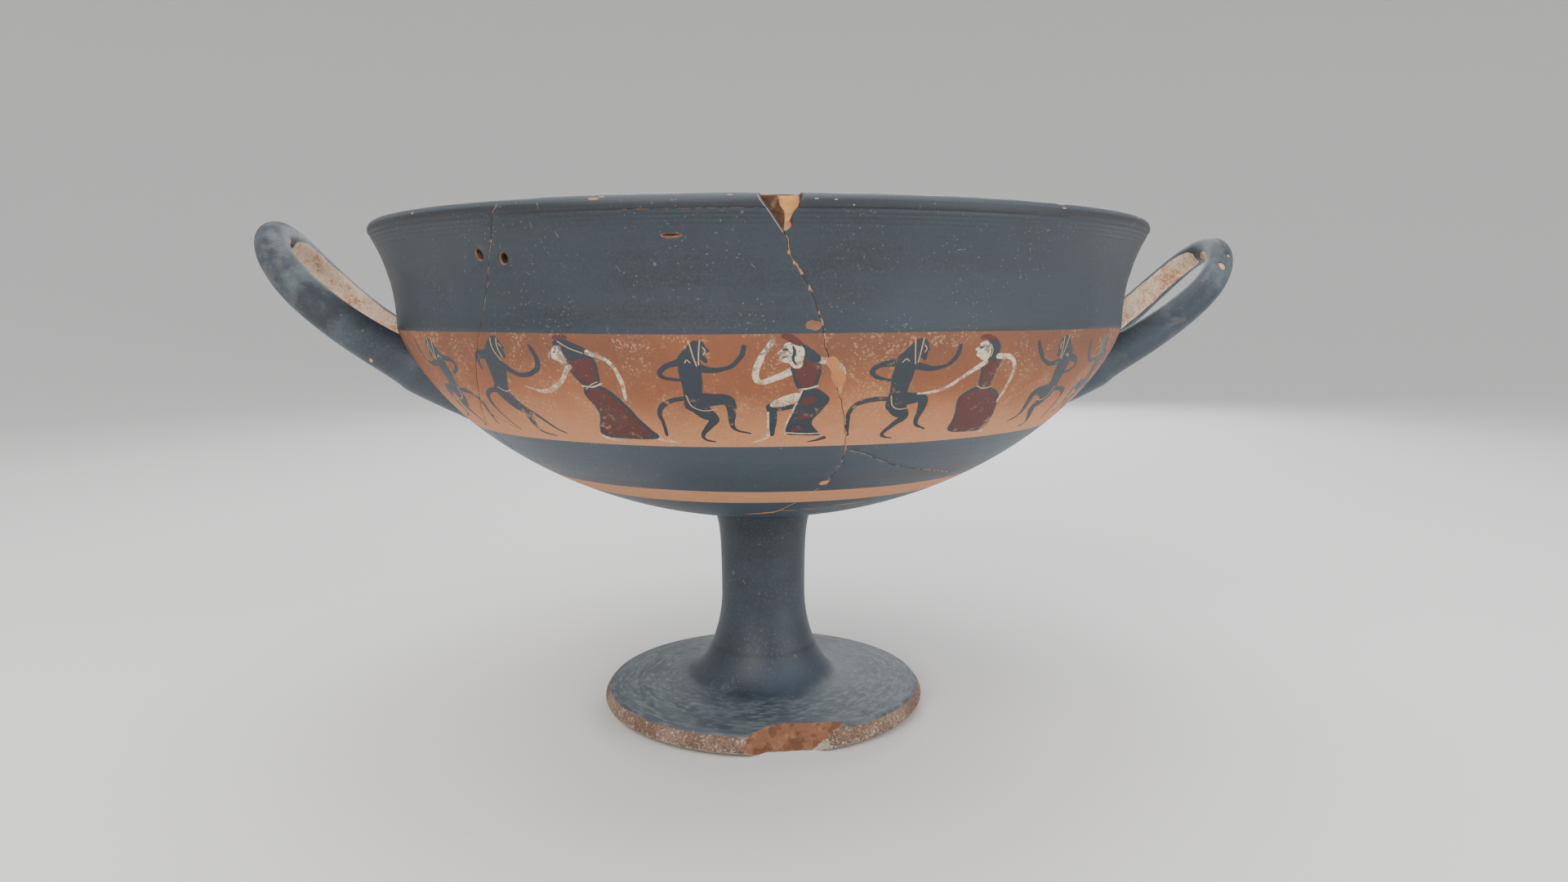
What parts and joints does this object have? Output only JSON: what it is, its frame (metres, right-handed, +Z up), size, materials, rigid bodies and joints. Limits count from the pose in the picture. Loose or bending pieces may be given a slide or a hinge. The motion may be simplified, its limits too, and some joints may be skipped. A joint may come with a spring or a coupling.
{
  "type": "kylix drinking cup",
  "caption": "Shallow wheel-thrown drinking cup with a concave lip, a tall stem, a disc foot and upswept loop handles, painted in dark slip, with old chips and mends.",
  "frame": {"origin": "on the axis of the cup, on the plane that the foot stands on", "axes": "+Z up the axis of the cup, X from handle to handle, -Y towards the front, which is the side with the chip on the lip"},
  "size_m": [0.2819, 0.22, 0.1455],
  "materials": {
    "painted_clay": "blue-black clay slip with a soft sheen over orange clay, with a painted band of dancers, worn and mended"
  },
  "bodies": {
    "root": {"kylix": "painted_clay"}
  },
  "joints": []
}
